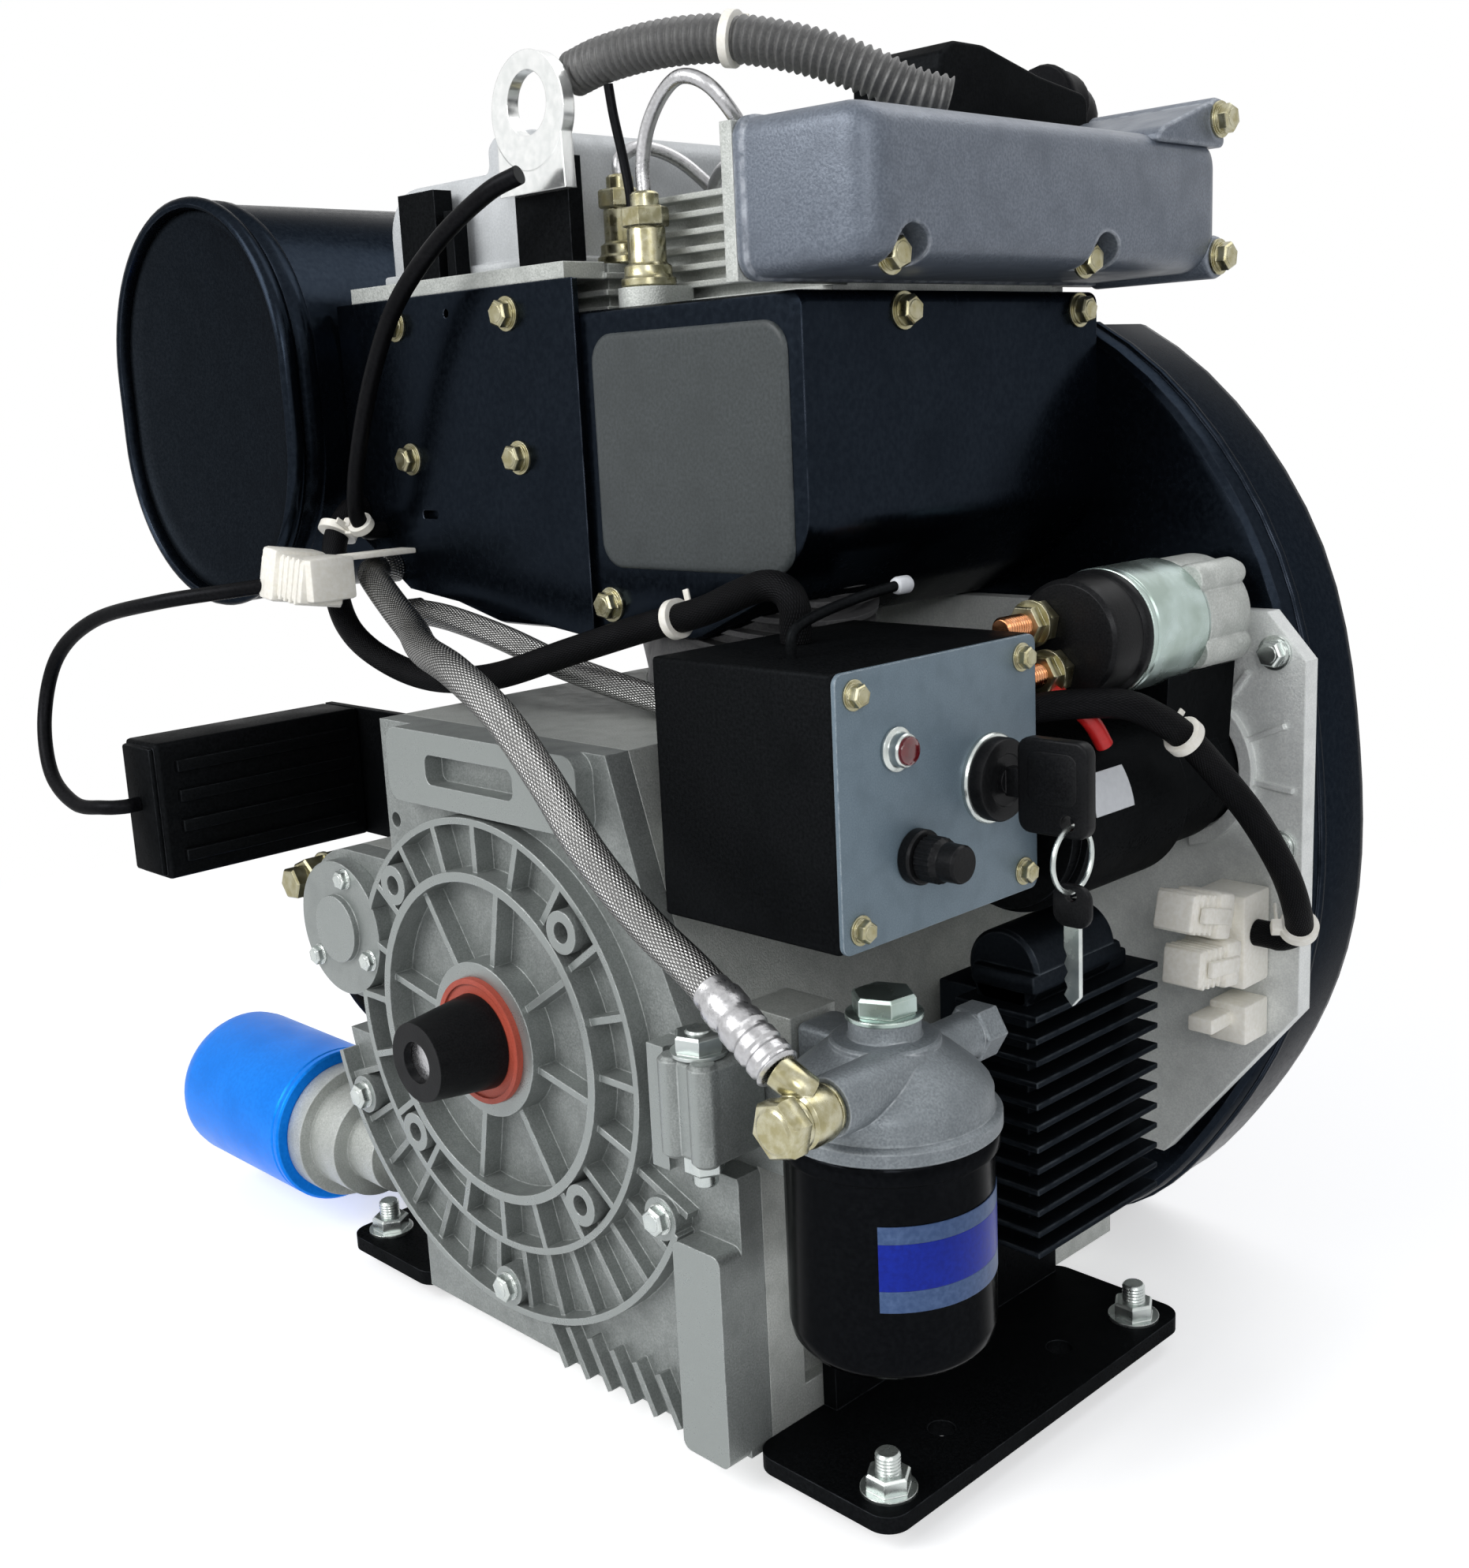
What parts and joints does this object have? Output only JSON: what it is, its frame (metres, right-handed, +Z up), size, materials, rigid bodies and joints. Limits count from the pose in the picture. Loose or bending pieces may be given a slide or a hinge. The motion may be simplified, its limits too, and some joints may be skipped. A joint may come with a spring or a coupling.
{
  "type": "marine diesel engine",
  "caption": "Air-cooled marine diesel engine with blower scroll, electric starter, control box, fuel and oil filters, air cleaner and feet.",
  "frame": {"origin": "centre of the drive flange face on the crank axis", "axes": "-Y out of the drive end along the crank axis, +X to the control panel side, +Z up"},
  "size_m": [0.6045, 0.3889, 0.5686],
  "materials": {
    "cast_silver": "as cast, satin",
    "machined_steel": "machined",
    "seal_red": "matt",
    "cylinder_iron": "as cast",
    "cover_grey": "speckled satin",
    "cover_light": "satin",
    "zinc_yellow": "yellow zinc plated",
    "gloss_black": "gloss powder coat",
    "satin_black": "satin",
    "panel_grey": "satin",
    "lamp_red": "gloss, translucent look",
    "black_plastic": "moulded",
    "zinc_bright": "bright zinc plated",
    "copper": "bright copper",
    "filter_blue": "gloss",
    "braid_steel": "woven wire",
    "cable_black": "sleeved",
    "conduit_grey": "corrugated",
    "plug_white": "moulded",
    "gear_iron": "machined",
    "dip_yellow": "moulded"
  },
  "bodies": {
    "engine": {"crankcase": "cast_silver", "pto_cover": "cast_silver", "oil_seal": "seal_red", "main_bearings": "machined_steel", "pump_cover": "cast_silver", "cylinders": "cylinder_iron", "head_right": "cast_silver", "head_left": "cast_silver", "valve_cover_right": "cover_grey", "valve_cover_left": "cover_light", "injectors": "zinc_yellow", "injection_pipes": "zinc_yellow", "injection_pump": "machined_steel", "cowl": "gloss_black", "front_plate": "gloss_black", "fan_scroll": "gloss_black", "inlet_guard": "satin_black", "flywheel_housing": "cast_silver", "air_cleaner_body": "gloss_black", "air_cleaner_lid": "gloss_black", "intake_duct": "black_plastic", "control_box": "satin_black", "control_panel": "panel_grey", "warning_lamp": "lamp_red", "key_switch": "black_plastic", "fuse_holder": "black_plastic", "fuel_filter_head": "cast_silver", "fuel_filter_can": "satin_black", "banjo_fittings": "zinc_yellow", "rectifier": "satin_black", "starter_motor": "satin_black", "starter_solenoid": "zinc_bright", "starter_terminals": "copper", "oil_filter": "filter_blue", "oil_filter_base": "cast_silver", "oil_hose": "cable_black", "voltage_regulator": "black_plastic", "regulator_bracket": "satin_black", "foot_brackets": "satin_black", "lifting_eye": "zinc_bright", "lifting_posts": "satin_black", "braided_hoses": "braid_steel", "loom_conduit": "conduit_grey", "wiring_loom": "cable_black", "ties_and_plugs": "plug_white", "zinc_bolts": "zinc_yellow", "case_bolts": "zinc_bright"},
    "crankshaft": {"crankshaft": "machined_steel", "flywheel": "gear_iron", "ring_gear": "machined_steel", "cooling_fan": "black_plastic", "shaft_cap": "black_plastic"},
    "camshaft": {"camshaft": "machined_steel"},
    "starter_pinion": {"starter_pinion": "machined_steel"},
    "ignition_key": {"ignition_key": "black_plastic"},
    "key_ring": {"key_ring": "zinc_bright", "spare_key": "zinc_bright"},
    "fuse_cap": {"fuse_cap": "black_plastic"},
    "stop_lever": {"stop_lever": "satin_black"},
    "dipstick": {"dipstick": "dip_yellow"}
  },
  "joints": [
    {"name": "crank_turn", "type": "hinge", "parent": "engine", "child": "crankshaft", "pos_m": [0, 0, 0], "axis": [0, 1, 0], "continuous": true},
    {"name": "camshaft_turn", "type": "hinge", "parent": "engine", "child": "camshaft", "pos_m": [0, 0, 0.072], "axis": [0, 1, 0], "continuous": true},
    {"name": "pinion_engage", "type": "slide", "parent": "engine", "child": "starter_pinion", "axis": [0, 1, 0], "range_m": [0, 0.014]},
    {"name": "key_turn", "type": "hinge", "parent": "engine", "child": "ignition_key", "pos_m": [0.2, 0.093, 0.121], "axis": [-1, 0, 0], "range_deg": [0, 60]},
    {"name": "key_ring_swing", "type": "hinge", "parent": "ignition_key", "child": "key_ring", "pos_m": [0.236, 0.093, 0.109], "axis": [0, 1, 0], "range_deg": [-25, 10]},
    {"name": "fuse_cap_turn", "type": "hinge", "parent": "engine", "child": "fuse_cap", "pos_m": [0.2, 0.049, 0.101], "axis": [1, 0, 0], "range_deg": [0, 45]},
    {"name": "stop_lever_turn", "type": "hinge", "parent": "engine", "child": "stop_lever", "pos_m": [0.16, 0.032, 0.171], "axis": [0, 0, 1], "range_deg": [-20, 20]},
    {"name": "dipstick_pull", "type": "slide", "parent": "engine", "child": "dipstick", "axis": [-0.7071, 0, 0.7071], "range_m": [0, 0.1]}
  ],
  "couplings": [
    {"joint": "camshaft_turn", "follows": "crank_turn", "ratio": -0.5}
  ]
}
